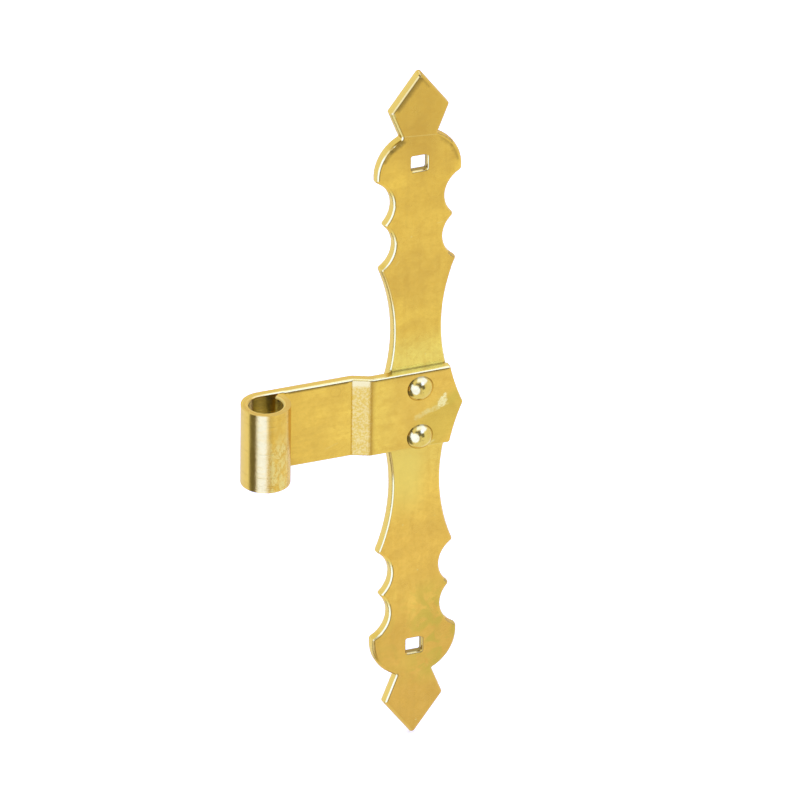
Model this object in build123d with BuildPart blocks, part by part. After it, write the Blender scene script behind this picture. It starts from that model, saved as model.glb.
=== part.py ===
from build123d import *
from math import asin, degrees, radians, tan
import os

os.makedirs("parts", exist_ok=True)

# Pressed steel cross hinge for a gate or shutter, hung from a pin that isn't part of it.
# The origin is on the axis of the rolled eye, half way up. +Z is up, the eye is at the left (-X),
# and the wood lies behind the hinge, on the +Y side. All sizes are in millimetres.

# Driving dimensions
sheet = 3.0                # thickness of both pressed pieces
plate_height = 303.0       # tip to tip, before the tips are rounded
arm_width = 35.0
bore_radius = 7.0          # inside of the rolled eye
eye_to_plate = 66.2        # from the eye's axis to the plate's centreline
square_side = 6.6          # holes that stop a coach bolt from turning
square_height = 110.0      # of the holes' centres above and below the middle
step_start = 37.7          # where the arm's step towards the front begins
step_angle = 24.0
bend_radius = 1.5          # inside radius of the step's two bends
roll_gap = 0.9             # between the rolled end and the arm's front face
head_radius = 5.5
head_height = 3.3
shank_radius = 3.0
tail_radius = 4.5
rivet_sideways = 0.4       # off the plate's centreline
rivet_heights = {"upper_rivet": 9.5, "lower_rivet": -12.4}

# Soft edges that punching leaves on the front
plate_edge_round = 1.8
arm_edge_round = 0.8
hole_edge_round = 0.8

# Planes that the pieces share
eye_radius = bore_radius + sheet
back_y = eye_radius                    # against the wood: the plate and the arm's root
plate_front_y = back_y - sheet
arm_front_y = plate_front_y - sheet    # the arm's outer part lies on the plate's front
half_height = plate_height / 2
half_width = arm_width / 2

plate_back = Plane(origin=(eye_to_plate, back_y, 0), x_dir=(1, 0, 0), z_dir=(0, -1, 0))
wood_side = Plane(origin=(eye_to_plate, back_y, 0), x_dir=(-1, 0, 0), z_dir=(0, 1, 0))
rivet_places = [(-rivet_sideways, height) for height in rivet_heights.values()]


# The vertical plate: spearheads, round lobes, two scallops and a waist on each side, the same
# above and below. Points are (sideways, up) from the plate's middle.

spear_side = (12.7, 134.4)
neck = (8.0, 122.4)
lobe_end = (18.1, 103.8)
upper_cusp = (15.1, 84.2)
lower_cusp = (16.3, 64.6)
pad_edge = (14.8, 9.0)
lobe_radius = 18.3
scallop_radius = 12.0
waist_radius = 80.0
square_corner_radius = 0.7

# How far each corner of the outline is rounded
corner_rounds = [
    ((0, half_height), 1.4),
    (spear_side, 1.0),
    (neck, 0.5),
    (lobe_end, 1.5),
    (upper_cusp, 1.0),
    (lower_cusp, 1.0),
    (pad_edge, 6.0),
]

with BuildPart() as ornamental_plate:
    with BuildSketch(plate_back) as outline:
        with BuildLine():
            Polyline((0, half_height), spear_side, neck)
            RadiusArc(neck, lobe_end, lobe_radius)
            RadiusArc(lobe_end, upper_cusp, -scallop_radius)
            RadiusArc(upper_cusp, lower_cusp, -scallop_radius)
            RadiusArc(lower_cusp, pad_edge, -waist_radius)
            Line(pad_edge, (pad_edge[0], 0))
            mirror(about=Plane.XZ)
            mirror(about=Plane.YZ)
        make_face()
        for (sideways, up), radius in corner_rounds:
            for x, y in {(sideways, up), (-sideways, up), (sideways, -up), (-sideways, -up)}:
                fillet(outline.vertices().sort_by_distance((x, y))[0], radius)
    extrude(amount=sheet)
    front = ornamental_plate.faces().sort_by(Axis.Y)[0]
    fillet(front.outer_wire().edges(), plate_edge_round)

    # square bolt holes, with softened front rims
    with BuildSketch(plate_back):
        with Locations((0, square_height), (0, -square_height)):
            RectangleRounded(square_side, square_side, square_corner_radius)
    extrude(amount=sheet, mode=Mode.SUBTRACT)
    front = ornamental_plate.faces().sort_by(Axis.Y)[0]
    for rim in front.inner_wires():
        fillet(rim.edges(), hole_edge_round)

    # rivet holes, widened at the back for the flattened tails
    with Locations(wood_side):
        with Locations(*rivet_places):
            CounterSinkHole(shank_radius, tail_radius, sheet, counter_sink_angle=90)

ornamental_plate.part.label = "ornamental_plate"
export_step(ornamental_plate.part, "parts/ornamental_plate.step")


# The arm: one strip, rolled forwards into the open eye at its left end, stepped forwards by its
# own thickness where it passes onto the plate, and pointed at its right end

arm_corner_x = eye_to_plate + 13.1     # where the pointed end begins
arm_tip_x = eye_to_plate + 18.6
point_hollow_radius = 90.0             # the two sides of the point are slightly hollow
point_corner_radius = 1.0
point_tip_radius = 1.3
roll_corner_radius = 0.5

# The rolled end stops where its outer corner is roll_gap short of the arm's front face
roll_end_angle = degrees(asin((plate_front_y - roll_gap) / eye_radius))
roll_sweep = 270 + roll_end_angle

# The step is drawn with sharp corners first. Each corner is shifted along the arm so that the
# strip keeps its thickness on the slope.
step_run = sheet / tan(radians(step_angle))
corner_shift = sheet / 2 * tan(radians(step_angle / 2))
first_bend_x = step_start + bend_radius
second_bend_x = first_bend_x + step_run
front_bends = [(first_bend_x - corner_shift, plate_front_y), (second_bend_x - corner_shift, arm_front_y)]
back_bends = [(first_bend_x + corner_shift, back_y), (second_bend_x + corner_shift, plate_front_y)]
bend_rounds = [
    (front_bends[0], bend_radius),
    (back_bends[1], bend_radius),
    (front_bends[1], bend_radius + sheet),
    (back_bends[0], bend_radius + sheet),
]

with BuildPart() as eye_arm:
    with BuildSketch(Plane.XY.offset(-half_width)) as strip:
        with BuildLine():
            roll_inside = CenterArc((0, 0), bore_radius, 90, roll_sweep)
            roll_outside = CenterArc((0, 0), eye_radius, 90, roll_sweep)
            Line(roll_inside @ 1, roll_outside @ 1)
            Polyline((0, back_y), *back_bends, (arm_tip_x, plate_front_y), (arm_tip_x, arm_front_y))
            Polyline((arm_tip_x, arm_front_y), *reversed(front_bends), (0, plate_front_y))
        make_face()
        for corner, radius in [*bend_rounds, (roll_outside @ 1, roll_corner_radius)]:
            fillet(strip.vertices().sort_by_distance(corner)[0], radius)
    extrude(amount=arm_width)

    # pointed right end
    with BuildSketch(Plane.XZ) as point:
        with BuildLine():
            Polyline(
                (arm_corner_x, -half_width),
                (-eye_radius, -half_width),
                (-eye_radius, half_width),
                (arm_corner_x, half_width),
            )
            RadiusArc((arm_corner_x, half_width), (arm_tip_x, 0), -point_hollow_radius)
            RadiusArc((arm_tip_x, 0), (arm_corner_x, -half_width), -point_hollow_radius)
        make_face()
        fillet(point.vertices().group_by(Axis.X)[1], point_corner_radius)
        fillet(point.vertices().group_by(Axis.X)[-1], point_tip_radius)
    extrude(amount=2 * eye_radius, both=True, mode=Mode.INTERSECT)

    # soft edges on the front of the strip, from the eye's bore to the right end and round its point
    slope_middle = ((front_bends[0][0] + front_bends[1][0]) / 2, (plate_front_y + arm_front_y) / 2)
    along_front = [
        (-bore_radius, 0),
        (step_start / 2, plate_front_y),
        front_bends[0],
        slope_middle,
        front_bends[1],
        (eye_to_plate, arm_front_y),
    ]
    soft_edges = [
        eye_arm.edges().sort_by_distance((x, y, z))[0]
        for x, y in along_front
        for z in (half_width, -half_width)
    ]
    right_end = eye_arm.faces().sort_by_distance((eye_to_plate, arm_front_y, 0))[0]
    soft_edges += right_end.edges().filter_by(lambda e: e.center().X > arm_corner_x - point_corner_radius)
    fillet(soft_edges, arm_edge_round)

    with Locations(wood_side):
        with Locations(*rivet_places):
            Hole(shank_radius)

eye_arm.part.label = "eye_arm"
export_step(eye_arm.part, "parts/eye_arm.step")


# The two rivets: a domed head on the arm, a shank through both holes, and a tail hammered into
# the widened hole until it is level with the plate's back

dome_radius = (head_radius**2 + head_height**2) / (2 * head_height)
dome_top_y = arm_front_y - head_height
tail_start_y = back_y - (tail_radius - shank_radius)
rivet_x = eye_to_plate + rivet_sideways

for name, height in rivet_heights.items():
    with BuildPart() as rivet:
        with BuildSketch(Plane(origin=(rivet_x, 0, height), x_dir=(1, 0, 0), z_dir=(0, 0, 1))):
            with BuildLine():
                Polyline(
                    (head_radius, arm_front_y),
                    (shank_radius, arm_front_y),
                    (shank_radius, tail_start_y),
                    (tail_radius, back_y),
                    (0, back_y),
                    (0, dome_top_y),
                )
                RadiusArc((0, dome_top_y), (head_radius, arm_front_y), -dome_radius)
            make_face()
        revolve(axis=Axis((rivet_x, 0, height), (0, 1, 0)))
    rivet.part.label = name
    export_step(rivet.part, f"parts/{name}.step")
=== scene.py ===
from math import cos, radians, sin

import bpy
from mathutils import Matrix, Vector


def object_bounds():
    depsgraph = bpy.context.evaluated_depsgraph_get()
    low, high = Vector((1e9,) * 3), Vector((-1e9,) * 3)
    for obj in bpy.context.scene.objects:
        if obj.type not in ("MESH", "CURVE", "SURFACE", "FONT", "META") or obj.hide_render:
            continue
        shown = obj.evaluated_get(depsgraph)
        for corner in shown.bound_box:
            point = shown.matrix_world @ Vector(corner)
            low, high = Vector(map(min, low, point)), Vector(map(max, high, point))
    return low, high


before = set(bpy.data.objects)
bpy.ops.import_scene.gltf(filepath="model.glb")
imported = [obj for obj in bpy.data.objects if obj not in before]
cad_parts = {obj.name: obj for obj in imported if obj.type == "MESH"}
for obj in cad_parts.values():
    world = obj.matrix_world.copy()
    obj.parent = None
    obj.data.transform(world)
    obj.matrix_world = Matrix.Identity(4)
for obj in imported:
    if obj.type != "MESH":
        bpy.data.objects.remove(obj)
cad_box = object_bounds()
scene = bpy.context.scene


# Camera: a long lens to the left of the hinge and above it

CAMERA_AZIMUTH = radians(-20.83)
CAMERA_ELEVATION = radians(30.0)
CAMERA_ROLL = radians(0.64)
CAMERA_PLACE = (-2.3747, -6.3900, 3.9557)
LENS, SENSOR_WIDTH = 900, 36    # millimetres
NEAREST_SEEN, FARTHEST_SEEN = 0.5, 60


def add_camera():
    azimuth, elevation = CAMERA_AZIMUTH, CAMERA_ELEVATION
    back = Vector((sin(azimuth) * cos(elevation), -cos(azimuth) * cos(elevation), sin(elevation)))
    level = Vector((cos(azimuth), sin(azimuth), 0))
    steep = back.cross(level)
    right = cos(CAMERA_ROLL) * level + sin(CAMERA_ROLL) * steep
    up = back.cross(right)
    data = bpy.data.cameras.new("camera")
    data.lens = LENS
    data.sensor_width = SENSOR_WIDTH
    data.clip_start = NEAREST_SEEN
    data.clip_end = FARTHEST_SEEN
    camera = bpy.data.objects.new("camera", data)
    turn = Matrix((right, up, back)).transposed().to_4x4()
    camera.matrix_world = Matrix.Translation(CAMERA_PLACE) @ turn
    scene.collection.objects.link(camera)
    scene.camera = camera


add_camera()


# Small helpers for node graphs. A value is a number, a colour or another node's output.


def put(socket, value):
    if isinstance(value, bpy.types.NodeSocket):
        socket.id_data.links.new(value, socket)
    else:
        socket.default_value = value


class Graph:
    def __init__(self, tree):
        self.tree = tree

    def node(self, kind, inputs=(), **settings):
        made = self.tree.nodes.new("ShaderNode" + kind)
        for name, value in settings.items():
            setattr(made, name, value)
        for key, value in dict(inputs).items():
            put(made.inputs[key], value)
        return made

    def calc(self, operation, *values):
        made = self.node("Math", operation=operation)
        for socket, value in zip(made.inputs, values):
            put(socket, value)
        return made.outputs[0]

    def times(self, product, *values):
        for value in values:
            product = self.calc("MULTIPLY", product, value)
        return product

    def minus(self, value, taken):
        return self.calc("SUBTRACT", value, taken)

    def plus(self, value, share, amount):
        """The value, with amount times the share added to it."""
        return self.calc("MULTIPLY_ADD", share, amount, value)

    def length(self, across, upward):
        return self.calc("SQRT", self.plus(self.calc("MULTIPLY", upward, upward), across, across))

    def step(self, value, start, end, low=0.0, high=1.0):
        """Goes smoothly from low to high as value goes from start to end."""
        made = self.node("MapRange", interpolation_type="SMOOTHSTEP")
        for socket, number in zip(made.inputs, (value, start, end, low, high)):
            put(socket, number)
        return made.outputs[0]

    def until(self, value, start, end):
        """One up to start, and smoothly down to zero at end."""
        return self.step(value, start, end, 1.0, 0.0)

    def band(self, value, low, high, soft):
        """One between low and high, and zero outside."""
        rise = self.step(value, low - soft / 2, low + soft / 2)
        fall = self.until(value, high - soft / 2, high + soft / 2)
        return self.times(rise, fall)

    def mix(self, share, first, second):
        # the node's inputs for colours come after those for numbers and vectors
        made = self.node("Mix", data_type="RGBA")
        factor, first_colour, second_colour = (made.inputs[place] for place in (0, 6, 7))
        put(factor, share)
        put(first_colour, first)
        put(second_colour, second)
        return made.outputs[2]

    def noise(self, place, size, detail=2.0, roughness=0.5, distortion=0.0):
        """Noise whose features are about size metres across, from 0 to 1."""
        inputs = {"Vector": place, "Scale": 1 / size, "Detail": detail}
        inputs |= {"Roughness": roughness, "Distortion": distortion}
        return self.node("TexNoise", inputs).outputs["Fac"]

    def stretched(self, place, x, y, z):
        return self.node("Mapping", {"Vector": place, "Scale": (x, y, z)}).outputs[0]

    def unit_vector(self, x, y, z):
        joined = self.node("CombineXYZ", {0: x, 1: y, 2: z}).outputs[0]
        return self.node("VectorMath", {0: joined}, operation="NORMALIZE").outputs[0]


# Light: a white room with soft panels, and dark gaps beside them

# The panels are cooler than the room, so that they show nearly white on gold
WHITE = (1, 1, 1, 1)
BACKDROP = (1.1, 1.1, 1.1, 1)    # what the camera sees behind the floor
COOL = (1.35, 1.80, 6.0, 1)
HIGH = (1.50, 2.20, 9.0, 1)
OVERHEAD = (1.35, 1.70, 4.5, 1)
PALE = (1.08, 1.12, 1.40, 1)
EVEN = (1.06, 1.06, 1.04, 1)
DIM = (0.74, 0.72, 0.68, 1)
WARM = (0.80, 0.70, 0.48, 1)
GAP = (0.20, 0.20, 0.20, 1)
DARK = (0.17, 0.17, 0.18, 1)

# Each area is (left, right, bottom, top, softness, colour), with the angles in degrees: azimuth as
# the camera's, and elevation above level
AREAS = [
    (-150, -101, -90, 32, 8, PALE),
    (93, 128, -90, 22, 8, PALE),
    (128, 205, -90, 22, 8, WARM),
    (128, 190, 22, 42, 6, EVEN),
    (-108, -72, 24, 56, 8, DARK),
    (-6, 8, -42, 12, 8, DIM),
    (-40, 14, 28, 42, 8, DARK),
    (-14, 14, 6, 44, 8, DARK),
    (12, 32, -8, 20, 7, DARK),
    (-99, -62, -62, 36, 6, GAP),
    (-70, -55, -12, 25, 5, COOL),
    (-30, 250, 50, 95, 8, OVERHEAD),
    (16, 80, 26, 60, 8, COOL),
    (11, 34, 24, 44, 6, HIGH),
]

# A panel with round corners: its middle, half its width and half its height in degrees, the
# softness of its rim as a share of its size, and its colour
ROUND_PANEL = (-36, -11, 30, 35, 0.18, COOL)


def add_light():
    world = bpy.data.worlds.new("studio")
    world.use_nodes = True
    scene.world = world
    world.node_tree.nodes.clear()
    g = Graph(world.node_tree)
    direction = g.node("TexCoord").outputs["Generated"]
    x, y, z = g.node("SeparateXYZ", {"Vector": direction}).outputs
    azimuth = g.calc("DEGREES", g.calc("ARCTAN2", x, g.times(y, -1.0)))
    elevation = g.calc("DEGREES", g.calc("ARCSINE", z))
    light = WHITE
    for left, right, bottom, top, soft, colour in AREAS:
        across = g.band(azimuth, left, right, soft)
        upward = g.band(elevation, bottom, top, soft)
        light = g.mix(g.times(across, upward), light, colour)
    middle, level, wide, tall, soft, colour = ROUND_PANEL
    across = g.calc("DIVIDE", g.minus(azimuth, middle), wide)
    upward = g.calc("DIVIDE", g.minus(elevation, level), tall)
    panel = g.until(g.length(across, upward), 1 - soft / 2, 1 + soft / 2)
    light = g.mix(panel, light, colour)

    # matt surfaces are lit evenly, and only polished ones show the panels
    path = g.node("LightPath").outputs
    light = g.mix(path["Is Diffuse Ray"], light, WHITE)
    light = g.mix(path["Is Camera Ray"], light, BACKDROP)
    background = g.node("Background", {"Color": light, "Strength": 1.0})
    g.node("OutputWorld", {"Surface": background.outputs[0]})
    scene.view_settings.view_transform = "Standard"


add_light()


# Floor: plain and pale, just under the lower tip, and lit from below as a light table is

FLOOR_REACH = 12.0
FLOOR_GAP = 0.0005
FLOOR_COLOUR = (0.9, 0.9, 0.9, 1)
FLOOR_ROUGHNESS = 0.9
FLOOR_GLOW = 0.3


def add_floor():
    mesh = bpy.data.meshes.new("floor")
    height = cad_box[0].z - FLOOR_GAP
    corners = [(-1, -1), (1, -1), (1, 1), (-1, 1)]
    mesh.from_pydata([(x * FLOOR_REACH, y * FLOOR_REACH, height) for x, y in corners], [], [(0, 1, 2, 3)])
    floor = bpy.data.objects.new("floor", mesh)
    material = bpy.data.materials.new("pale_floor")
    material.use_nodes = True
    shader = material.node_tree.nodes["Principled BSDF"]
    shader.inputs["Base Color"].default_value = FLOOR_COLOUR
    shader.inputs["Roughness"].default_value = FLOOR_ROUGHNESS
    shader.inputs["Emission Color"].default_value = WHITE
    shader.inputs["Emission Strength"].default_value = FLOOR_GLOW
    mesh.materials.append(material)
    scene.collection.objects.link(floor)
    floor.visible_glossy = False


add_floor()


# Yellow zinc plating. Each piece has its own finish, because each took the bath differently.

GOLD = (0.790, 0.530, 0.098, 1)
BROWN_GOLD = (0.560, 0.340, 0.066, 1)
GRAIN_GOLD = (0.640, 0.375, 0.045, 1)
PALE_GOLD = (0.800, 0.640, 0.170, 1)
EYE_GOLD = (0.740, 0.535, 0.130, 1)
CUT_GOLD = (0.740, 0.520, 0.110, 1)
STEP_GOLD = (0.680, 0.392, 0.033, 1)
DULL_GOLD = (0.450, 0.250, 0.020, 1)
WALL_GOLD = (0.770, 0.560, 0.125, 1)
PALE_LIME = (0.840, 0.680, 0.165, 1)
LIME = (0.590, 0.480, 0.080, 1)
RUBBED = (0.820, 0.700, 0.280, 1)
SCUFFED = (0.950, 0.880, 0.480, 1)
OLIVE = (0.840, 0.760, 0.440, 1)
SHADE = (0.160, 0.110, 0.030, 1)

BUMP_DEPTH = 0.00006    # metres, of the fine grain

# Sizes of the part that the finishes follow, in metres
BORE_RADIUS, EYE_RADIUS = 0.0070, 0.0100
ARM_TOP = 0.0175
ARM_SOFT_TOP = ARM_TOP - 0.0008
SLOPE_START, SLOPE_END = 0.0387, 0.0454
PILLOW_START, PILLOW_SPAN = 0.0157, 0.0054    # of the arm's front, which falls back above the start
PLATE_MIDDLE, PLATE_FRONT, EDGE_ROUND = 0.0662, 0.0070, 0.0018
HOLE_HEIGHT, HOLE_REACH = 0.1100, 0.0034

# The plate's waist: the centre of its arcs beside the plate's middle and above the arm's, the
# arcs' radius, and the heights between which they run
WAIST_CENTRE, WAIST_RADIUS = (0.09053, 0.03478), 0.080
WAIST_START, WAIST_END = 0.0100, 0.0632

# The steep half of the plate's rolled edge is straight where the edge faces this way, seen from
# the front: (to the right, upwards). Its slant is how far it still leans to the front.
SHEARED_SIDE = (-0.31, 0.50)
SHEARED_SLANT = -0.27

# How the colour drifts up the plate and along the arm: (place in metres, colour)
# The plate's drift, lighter towards its middle, is partly the plating's own tone and partly painted light,
# for how the light falls over its flat faces
PLATE_DRIFT = [
    (-0.150, (0.765, 0.485, 0.108, 1)),
    (-0.125, (0.820, 0.515, 0.114, 1)),
    (-0.104, (0.795, 0.508, 0.108, 1)),
    (-0.088, (0.900, 0.600, 0.125, 1)),
    (-0.064, (0.905, 0.595, 0.121, 1)),
    (-0.040, (0.950, 0.655, 0.131, 1)),
    (-0.022, (0.885, 0.660, 0.148, 1)),
    (0.022, (0.960, 0.810, 0.193, 1)),
    (0.037, (0.870, 0.610, 0.113, 1)),
    (0.060, (0.810, 0.545, 0.104, 1)),
    (0.102, (0.880, 0.600, 0.107, 1)),
    (0.118, (0.775, 0.520, 0.097, 1)),
    (0.128, (0.705, 0.465, 0.087, 1)),
]
ARM_DRIFT = [
    (0.010, (0.790, 0.530, 0.100, 1)),
    (0.034, (0.930, 0.655, 0.127, 1)),
    (0.046, (0.900, 0.660, 0.135, 1)),
    (0.066, (0.835, 0.570, 0.118, 1)),
    (0.080, (0.865, 0.585, 0.120, 1)),
]

# Marks on the front: straight lines from (x, z) to (x, z), with their width, the softness and the
# raggedness of their sides, all in metres, their share and their colour
PLATE_MARKS = [
    # painted shade beside the rolled edges of the upper tip and lobe
    ((0.0660, 0.1480), (0.0570, 0.1360), 0.0026, 0.0022, 0.0016, 0.58, SHADE),
    ((0.0672, 0.1486), (0.0700, 0.1450), 0.0020, 0.0022, 0.0016, 0.40, SHADE),
    ((0.0593, 0.1206), (0.0547, 0.1173), 0.0016, 0.0022, 0.0016, 0.70, SHADE),
    ((0.0547, 0.1173), (0.0517, 0.1130), 0.0008, 0.0022, 0.0016, 0.70, SHADE),
    ((0.0755, 0.1197), (0.0798, 0.1160), 0.0010, 0.0022, 0.0016, 0.40, SHADE),
    ((0.0798, 0.1160), (0.0824, 0.1095), 0.0010, 0.0022, 0.0016, 0.40, SHADE),
    # rubbed bright at the upper tip and at the left corner below it
    ((0.0662, 0.1505), (0.0668, 0.1494), 0.0014, 0.0012, 0.0008, 1.0, RUBBED),
    ((0.0549, 0.1343), (0.0554, 0.1325), 0.0009, 0.0012, 0.0008, 1.0, RUBBED),
    # a line left by the tool across the upper neck, and scratches
    ((0.0594, 0.1231), (0.0736, 0.1218), 0.00025, 0.0003, 0.0, 0.45, RUBBED),
    ((0.0740, 0.0816), (0.0767, 0.0820), 0.0002, 0.0003, 0.0, 0.45, RUBBED),
    ((0.0568, 0.0655), (0.0580, 0.0672), 0.0002, 0.0003, 0.0, 0.5, RUBBED),
]
ARM_PATCHES = [
    # greener fields on the outer part
    ((0.0700, -0.0120), (0.0800, -0.0020), 0.015, 0.006, 0.0, 0.35, LIME),
    ((0.0793, 0.0018), (0.0818, 0.0045), 0.004, 0.003, 0.0, 0.35, LIME),
]
ARM_MARKS = [
    # the middle of the brightest scuff
    ((0.0756, 0.0013), (0.0763, 0.0023), 0.0020, 0.0012, 0.0024, 0.55, SCUFFED),
    # painted shade just under the rolled upper edge
    ((0.0125, 0.0161), (0.0368, 0.0161), 0.0007, 0.0008, 0.0006, 0.50, SHADE),
    ((0.0480, 0.0161), (0.0775, 0.0161), 0.0007, 0.0008, 0.0006, 0.30, SHADE),
    # a scratch on the root
    ((0.0279, -0.0123), (0.0329, -0.0105), 0.0002, 0.0005, 0.0004, 0.4, RUBBED),
]

# Scuffs on the arm's outer part, broken up by flecks: start, end, width, share and colour
ARM_SCUFFS = [
    ((0.0652, -0.0034), (0.0695, -0.0016), 0.0024, 0.55, RUBBED),
    ((0.0695, -0.0014), (0.0742, -0.0004), 0.0022, 0.60, RUBBED),
    ((0.0742, -0.0002), (0.0781, 0.0006), 0.0008, 0.70, RUBBED),
    ((0.0757, 0.0014), (0.0762, 0.0026), 0.0034, 0.85, SCUFFED),
    ((0.0766, 0.0028), (0.0769, 0.0052), 0.0012, 0.85, SCUFFED),
    ((0.0700, -0.0163), (0.0722, -0.0152), 0.0010, 0.80, RUBBED),
]
SCUFF_SOFTNESS, SCUFF_RAGGEDNESS = 0.0008, 0.0024

# Where the plate's left roll is darker: bottom, top, softness, share and colour
DARKER_ROLL_STRETCHES = [
    (-0.0310, -0.0150, 0.006, 0.9, DULL_GOLD),
    (-0.1222, -0.1045, 0.001, 0.9, DULL_GOLD),
    (0.0480, 0.0640, 0.006, 0.7, STEP_GOLD),
]

# Heights of the thin lines that rolling left round the eye, and half their width
EYE_LINES = (0.0152, 0.0124, 0.0, -0.0108, -0.0144, -0.0153, -0.0162)
EYE_LINE_REACH = 0.00018


class Zinc(Graph):
    """The graph of a new plated material, with places and directions in the part. The coating's
    colour, roughness and height are built up in it step by step."""

    def __init__(self, name):
        self.material = bpy.data.materials.new(name)
        self.material.use_nodes = True
        super().__init__(self.material.node_tree)
        self.shader = self.tree.nodes["Principled BSDF"]
        self.shader.inputs["Metallic"].default_value = 1.0
        self.shader.inputs["Specular IOR Level"].default_value = 0.0
        self.place = self.node("TexCoord").outputs["Object"]
        self.x, self.y, self.z = self.node("SeparateXYZ", {"Vector": self.place}).outputs
        normal = self.node("NewGeometry").outputs["Normal"]
        self.right, self.back, self.up = self.node("SeparateXYZ", {"Vector": normal}).outputs
        self.front = self.until(self.back, -0.98, -0.90)
        self.off_middle = self.calc("ABSOLUTE", self.z)    # height above or below the middle

    def drift(self, value, stops):
        """The colour that changes smoothly from stop to stop along value."""
        colour = stops[0][1]
        for (start, _), (end, shade) in zip(stops, stops[1:]):
            colour = self.mix(self.step(value, start, end), colour, shade)
        return colour

    def tint(self, colour, *shares):
        """Mixes a colour in, by the product of the shares."""
        self.colour = self.mix(self.times(*shares), self.colour, colour)

    def roughen(self, share, amount):
        self.rough = self.plus(self.rough, share, amount)

    def lift(self, share, amount):
        self.height = self.plus(self.height, share, amount)

    def coat(self, colour, rough, grain, streaks):
        """What all pieces share: clouds, stains, rolling streaks, grain and small bright chips."""
        self.colour = colour
        self.rough = self.plus(rough * 0.6, self.noise(self.place, 0.005, 3, 0.6), rough * 0.8)
        wide = self.noise(self.place, 0.011, 2, 0.5)
        fine = self.noise(self.place, 0.0010, 3, 0.6)
        self.height = self.plus(self.times(wide, 2.5), fine, grain)

        cloud = self.noise(self.place, 0.018, 3, 0.6, 0.5)
        stain = self.noise(self.place, 0.0065, 4, 0.62, 0.8)
        streak = self.noise(self.stretched(self.place, *streaks), 0.0024, 2, 0.5)
        speckle = self.noise(self.place, 0.0016, 3, 0.8)
        self.tint(BROWN_GOLD, self.step(cloud, 0.42, 0.64), 0.26)
        self.tint(BROWN_GOLD, self.step(stain, 0.44, 0.68), 0.20)
        self.tint(BROWN_GOLD, self.step(streak, 0.40, 0.70), 0.14)
        self.tint(GRAIN_GOLD, self.step(speckle, 0.42, 0.62), 0.20)

        cells = self.node("TexVoronoi", {"Vector": self.place, "Scale": 1 / 0.006})
        self.tint(RUBBED, self.until(cells.outputs["Distance"], 0.035, 0.065), 0.7)

    def near(self, start, end, width, soft, ragged=0.0):
        """One near a straight line on the front, from start to end, and zero elsewhere."""
        run, rise = end[0] - start[0], end[1] - start[1]
        squared = run**2 + rise**2
        across = self.minus(self.x, start[0])
        upward = self.minus(self.z, start[1])
        along = self.plus(self.times(upward, rise / squared), across, run / squared)
        along = self.node("Clamp", {"Value": along}).outputs[0]
        away = self.length(self.plus(across, along, -run), self.plus(upward, along, -rise))
        if ragged:
            rough_edge = self.noise(self.place, 0.0012, 4, 0.75)
            away = self.plus(away, self.minus(rough_edge, 0.5), ragged)
        return self.times(self.until(away, width / 2 - soft / 2, width / 2 + soft / 2), self.front)

    def mark(self, marks):
        for start, end, width, soft, ragged, share, colour in marks:
            self.tint(colour, self.near(start, end, width, soft, ragged), share)

    def finish(self, strength, **below):
        inputs = {"Strength": strength, "Distance": BUMP_DEPTH, "Height": self.height, **below}
        bump = self.node("Bump", inputs)
        put(self.shader.inputs["Base Color"], self.colour)
        put(self.shader.inputs["Roughness"], self.rough)
        put(self.shader.inputs["Normal"], bump.outputs[0])
        return self.material


# The plate


def smooth_waist(g):
    """Gives the long hollow rolls of the waist an even curve between the few facets of their mesh."""
    beside = g.minus(g.x, PLATE_MIDDLE)
    out = g.minus(g.calc("ABSOLUTE", beside), WAIST_CENTRE[0])
    rise = g.minus(g.off_middle, WAIST_CENTRE[1])
    away = g.length(out, rise)
    steep = g.minus(1 + WAIST_RADIUS / EDGE_ROUND, g.calc("DIVIDE", away, EDGE_ROUND))
    outward = g.calc("DIVIDE", g.times(g.calc("MAXIMUM", steep, 0.0), -1.0), away)
    right = g.times(out, outward, g.calc("SIGN", beside))
    up = g.times(rise, outward, g.calc("SIGN", g.z))
    back = g.calc("DIVIDE", g.minus(g.y, PLATE_FRONT + EDGE_ROUND), EDGE_ROUND)
    worked_out = g.unit_vector(right, g.calc("MINIMUM", back, 0.0), up)
    worked_out = g.node("SeparateXYZ", {"Vector": worked_out}).outputs
    waist = g.band(g.off_middle, WAIST_START, WAIST_END, 0.0006)
    roll = g.times(waist, g.step(g.back, -0.9995, -0.998), g.until(g.back, -0.06, -0.02))
    meshed = (g.right, g.back, g.up)
    g.right, g.back, g.up = (g.plus(old, roll, g.minus(new, old)) for old, new in zip(meshed, worked_out))


def colour_plate(g):
    """Patches and marks on the front."""
    # lighter and greener under the arm, and greener patches on the lower lobe
    g.tint(PALE_LIME, g.band(g.z, -0.044, -0.016, 0.020), g.until(g.x, 0.064, 0.073), 0.7)
    limes = g.step(g.noise(g.place, 0.008, 3, 0.6, 0.6), 0.42, 0.60)
    lower_lobe = g.band(g.z, -0.126, -0.084, 0.012)
    g.tint(LIME, lower_lobe, g.step(g.x, 0.060, 0.074, 0.25, 1.0), limes, 0.75)

    # browner round the upper hole, partly the plating's tone and partly painted shade, and browner at the
    # right below the arm
    g.tint(BROWN_GOLD, g.near((PLATE_MIDDLE, 0.112), (PLATE_MIDDLE, 0.119), 0.014, 0.010), 0.42)
    g.tint(BROWN_GOLD, g.step(g.x, 0.062, 0.085), g.step(g.z, -0.02, -0.05), 0.25)

    # painted shade along the joint where the arm lies across
    g.tint(SHADE, g.band(g.z, 0.0172, 0.0180, 0.0003), 0.55)
    g.mark(PLATE_MARKS)


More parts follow.
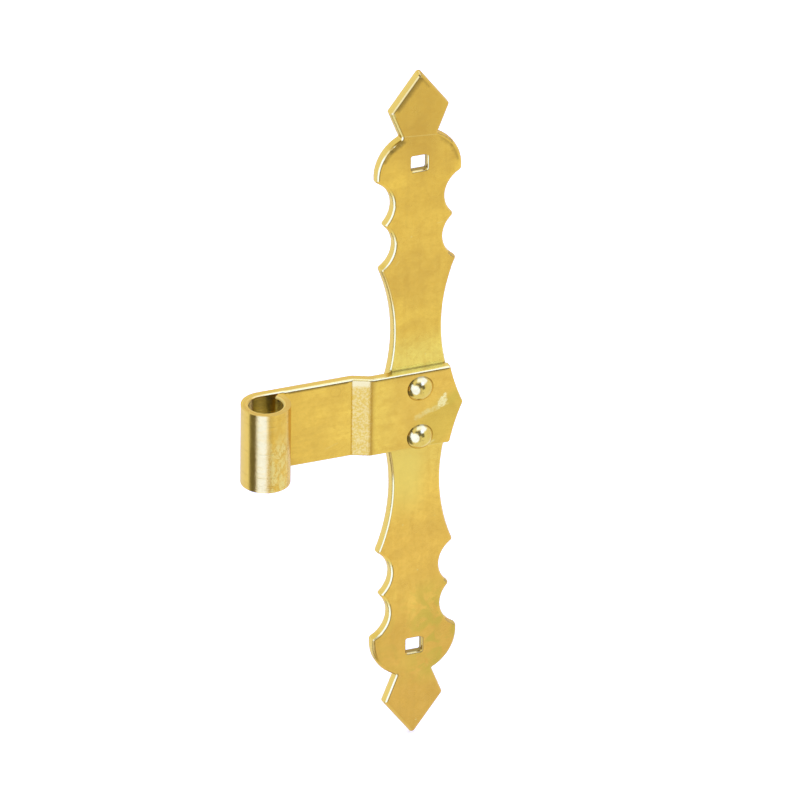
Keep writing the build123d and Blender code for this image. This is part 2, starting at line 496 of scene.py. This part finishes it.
def colour_left_edges(g):
    """Gold cut wall, a roll made paler as a painted highlight, and a dark line of painted shade inside it
    on lobes and scallops.
    """
    facing = g.calc("DEGREES", g.calc("ARCTAN2", g.up, g.times(g.right, -1.0)))
    left = g.times(g.until(g.right, -0.25, -0.10), g.step(facing, -42.0, -22.0))
    roll = g.times(left, g.band(g.back, -0.975, -0.77, 0.02))
    g.tint(WALL_GOLD, left, g.step(g.back, -0.80, -0.76))
    # painted highlight: the roll is paler, in uneven patches
    g.tint(PALE_GOLD, roll, g.step(g.noise(g.place, 0.004, 3, 0.7), 0.30, 0.50, 0.6, 1.0))

    # painted shade: darker where the upper lobe and tip turn towards the top, so that the roll shows no
    # highlight there, and darker on a few stretches
    high = g.step(g.z, 0.108, 0.112)
    g.tint(STEP_GOLD, roll, high, g.step(facing, 28.0, 38.0), 0.7)
    g.tint(DULL_GOLD, roll, high, g.step(facing, 40.0, 52.0))
    for bottom, top, soft, share, colour in DARKER_ROLL_STRETCHES:
        g.tint(colour, roll, g.band(g.z, bottom, top, soft), share)

    # painted shade: a dark line inside the roll
    inner = g.times(g.band(g.back, -0.996, -0.965, 0.006), g.until(g.right, -0.08, -0.04))
    beyond_waist = g.step(g.off_middle, 0.0655, 0.070)
    g.tint(SHADE, inner, beyond_waist, g.step(facing, -30.0, -10.0), 0.55)
    g.roughen(g.step(g.back, -0.99, -0.96), -0.06)


def shade_holes(g):
    """Painted shade: the walls of the square holes are darker than the front."""
    inside = g.times(
        g.band(g.x, PLATE_MIDDLE - HOLE_REACH, PLATE_MIDDLE + HOLE_REACH, 0.0004),
        g.band(g.off_middle, HOLE_HEIGHT - HOLE_REACH, HOLE_HEIGHT + HOLE_REACH, 0.0004),
    )
    g.tint(SHADE, inside, g.step(g.y, PLATE_FRONT + 0.0003, PLATE_FRONT + 0.0009), 0.85)


def sheared_normal(g):
    """At the left and above, the shears left the steep half of the rolled edge nearly as straight
    as the cut wall behind it. Elsewhere the roll stays round."""
    start = g.step(g.off_middle, 0.064, 0.070, -0.86, -0.80)
    bent = g.calc("LESS_THAN", g.back, start)
    wall = g.calc("GREATER_THAN", g.back, -0.05)
    flat = g.length(g.right, g.up)
    towards = g.plus(g.times(g.right, SHEARED_SIDE[0]), g.up, SHEARED_SIDE[1])
    turned_away = g.calc("LESS_THAN", towards, g.times(flat, 0.06))
    kept = g.calc("MAXIMUM", g.calc("MAXIMUM", bent, wall), turned_away)
    straight = g.times(flat, SHEARED_SLANT)
    return g.unit_vector(g.right, g.plus(straight, kept, g.minus(g.back, straight)), g.up)


def plate_finish():
    g = Zinc("plate")
    g.coat(g.drift(g.z, PLATE_DRIFT), rough=0.24, grain=0.8, streaks=(1.0, 1.0, 0.10))
    smooth_waist(g)
    colour_plate(g)
    colour_left_edges(g)
    shade_holes(g)
    return g.finish(0.35, Normal=sheared_normal(g))


# The arm


def pebble_slope(g):
    """The step's slope is pebbled, smooth and paler at its top, and has a band of painted shade beside it.
    """
    slope = g.times(
        g.step(g.x, SLOPE_START - 0.0005, SLOPE_START),
        g.until(g.x, SLOPE_END, SLOPE_END + 0.0016),
    )
    ragged_z = g.plus(g.z, g.noise(g.place, 0.0016, 3, 0.7), 0.0016)
    smooth = g.step(ragged_z, 0.0142, 0.0156)
    pebbles = g.noise(g.place, 0.0009, 3, 0.7)
    raised = g.minus(pebbles, 0.5)
    g.tint(STEP_GOLD, slope)
    g.tint(GOLD, slope, g.step(pebbles, 0.46, 0.55), 0.60)
    g.tint(CUT_GOLD, slope, smooth)
    g.roughen(g.times(slope, g.minus(1.0, smooth)), 0.10)
    g.lift(g.times(slope, raised), 1.8)
    beside = g.plus(g.plus(g.x, g.step(g.z, 0.010, ARM_TOP), -0.0010), raised, 0.0016)
    # painted shade beside the slope, browner and darker
    slope_shade = g.times(
        g.step(g.x, SLOPE_END - 0.0001, SLOPE_END + 0.0007),
        g.until(beside, SLOPE_END + 0.0002, SLOPE_END + 0.0028),
    )
    g.tint(BROWN_GOLD, slope_shade, 0.45)
    g.tint(SHADE, slope_shade, 0.15)


def colour_cut_edges(g, eye):
    """The strip's edges above and below: painted shade on the front of the ring, and a painted highlight
    that makes them paler over the plate.
    """
    cut = g.step(g.calc("ABSOLUTE", g.up), 0.95, 0.99)
    g.tint(CUT_GOLD, cut, 0.8)
    # painted highlight: paler over the plate
    g.tint(PALE_GOLD, cut, g.step(g.x, 0.052, 0.057), 0.8)
    # painted shade: darker on the front of the ring
    g.tint(BROWN_GOLD, cut, eye, g.until(g.y, -0.002, 0.006), 0.45)
    g.roughen(cut, 0.08)


def colour_eye_inside(g, radius):
    """The bath hardly reached the inside of the eye. Its rim is worn matt."""
    wall = g.until(radius, BORE_RADIUS + 0.0002, BORE_RADIUS + 0.0006)
    behind_end = g.times(
        g.until(radius, EYE_RADIUS - 0.0006, EYE_RADIUS - 0.0002),
        g.step(g.y, PLATE_FRONT - 0.0006, PLATE_FRONT - 0.0002),
        g.front,
    )
    above = g.step(g.off_middle, ARM_SOFT_TOP - 0.0003, ARM_SOFT_TOP)
    g.tint(OLIVE, g.calc("MAXIMUM", wall, behind_end), g.minus(1.0, above))
    rim = g.times(
        g.until(radius, BORE_RADIUS + 0.0008, BORE_RADIUS + 0.0010),
        g.until(g.y, 0.004, 0.0068),
        above,
    )
    g.tint(GOLD, rim, 0.9)
    put(g.shader.inputs["Metallic"], g.minus(1.0, g.times(rim, 0.85)))
    g.roughen(rim, 0.35)


def colour_eye_outside(g, radius, eye):
    """Lines round the eye from rolling, and pale rubbed places."""
    outside = g.times(eye, g.step(radius, 0.0088, 0.0094))
    around = g.stretched(g.place, 0.3, 0.3, 1.0)
    uneven = g.step(g.noise(around, 0.0022, 4, 0.75), 0.36, 0.54, 0.45, 1.0)
    # painted highlight: whiter where the eye shows its bright stripe
    g.tint(EYE_GOLD, outside, g.band(g.x, -0.0064, -0.0030, 0.0010), uneven, 0.85)
    g.tint(WALL_GOLD, outside, g.until(g.x, -0.0080, -0.0070), 0.6)
    rings = g.noise(g.stretched(g.place, 0.20, 0.20, 1.0), 0.0008, 4, 0.8)
    g.lift(g.times(eye, g.minus(rings, 0.5)), 4.0)
    g.roughen(eye, -0.05)

    rubbed = g.step(g.noise(g.stretched(g.place, 1.0, 1.0, 0.5), 0.0018, 6, 0.85, 0.4), 0.44, 0.56)
    right_front = g.times(g.band(g.x, -0.002, 0.0065, 0.003), g.until(g.y, -0.002, 0.001))
    g.tint(RUBBED, rubbed, eye, right_front, g.step(g.z, -0.001, 0.010, 1.0, 0.15), 0.85)

    broken = g.step(g.noise(g.place, 0.003, 3, 0.7), 0.40, 0.60)
    for height in EYE_LINES:
        line = g.band(g.z, height - EYE_LINE_REACH, height + EYE_LINE_REACH, 0.0003)
        line = g.times(outside, broken, line)
        g.lift(line, -0.8)
        g.tint(DULL_GOLD, line, 0.30)


def colour_arm(g):
    """Patches, scuffs and other marks on the strip."""
    g.mark(ARM_PATCHES)
    flecks = g.step(g.noise(g.place, 0.0009, 3, 0.8), 0.41, 0.51, 0.15, 1.0)
    for start, end, width, share, colour in ARM_SCUFFS:
        scuff = g.near(start, end, width, SCUFF_SOFTNESS, SCUFF_RAGGEDNESS)
        g.tint(colour, scuff, flecks, share)
    g.mark(ARM_MARKS)

    # a faint ring on the root
    inner, outer = (g.near((0.0318, 0.0129), (0.0320, 0.0129), width, 0.0006) for width in (0.0036, 0.0044))
    g.tint(BROWN_GOLD, g.minus(outer, inner), 0.25)

    # paler round its soft edges
    soft_edge = g.band(g.calc("ABSOLUTE", g.up), 0.20, 0.94, 0.08)
    g.tint(PALE_GOLD, soft_edge, g.step(g.x, 0.0, 0.004), 0.8)


def pillowed_normal(g, eye):
    """The strip's front already falls back a little before its upper edge."""
    beyond = g.calc("MAXIMUM", g.minus(g.z, PILLOW_START), 0.0)
    fall = g.times(beyond, beyond, -1 / PILLOW_SPAN)
    return g.node("Bump", {"Strength": g.minus(1.0, eye), "Distance": 1.0, "Height": fall}).outputs[0]


def arm_finish():
    g = Zinc("arm")
    g.coat(g.drift(g.x, ARM_DRIFT), rough=0.22, grain=0.8, streaks=(0.10, 1.0, 1.0))
    radius = g.length(g.x, g.y)
    eye = g.until(g.x, 0.0095, 0.0110)
    pebble_slope(g)
    colour_cut_edges(g, eye)
    colour_eye_inside(g, radius)
    colour_eye_outside(g, radius, eye)
    colour_arm(g)
    return g.finish(0.35, Normal=pillowed_normal(g, eye))


# The rivets, with painted shade as a dark line round their heads


def rivet_finish():
    g = Zinc("rivet")
    g.coat(PALE_GOLD, rough=0.17, grain=0.5, streaks=(1.0, 1.0, 1.0))
    # painted shade: a dark line round the head
    g.tint(SHADE, g.band(g.y, 0.0034, 0.0070, 0.0007), 0.6)
    return g.finish(0.25)


def dress(finish, *names):
    for name in names:
        for material_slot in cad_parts[name].material_slots:
            material_slot.material = finish


dress(plate_finish(), "ornamental_plate")
dress(arm_finish(), "eye_arm")
dress(rivet_finish(), "upper_rivet", "lower_rivet")
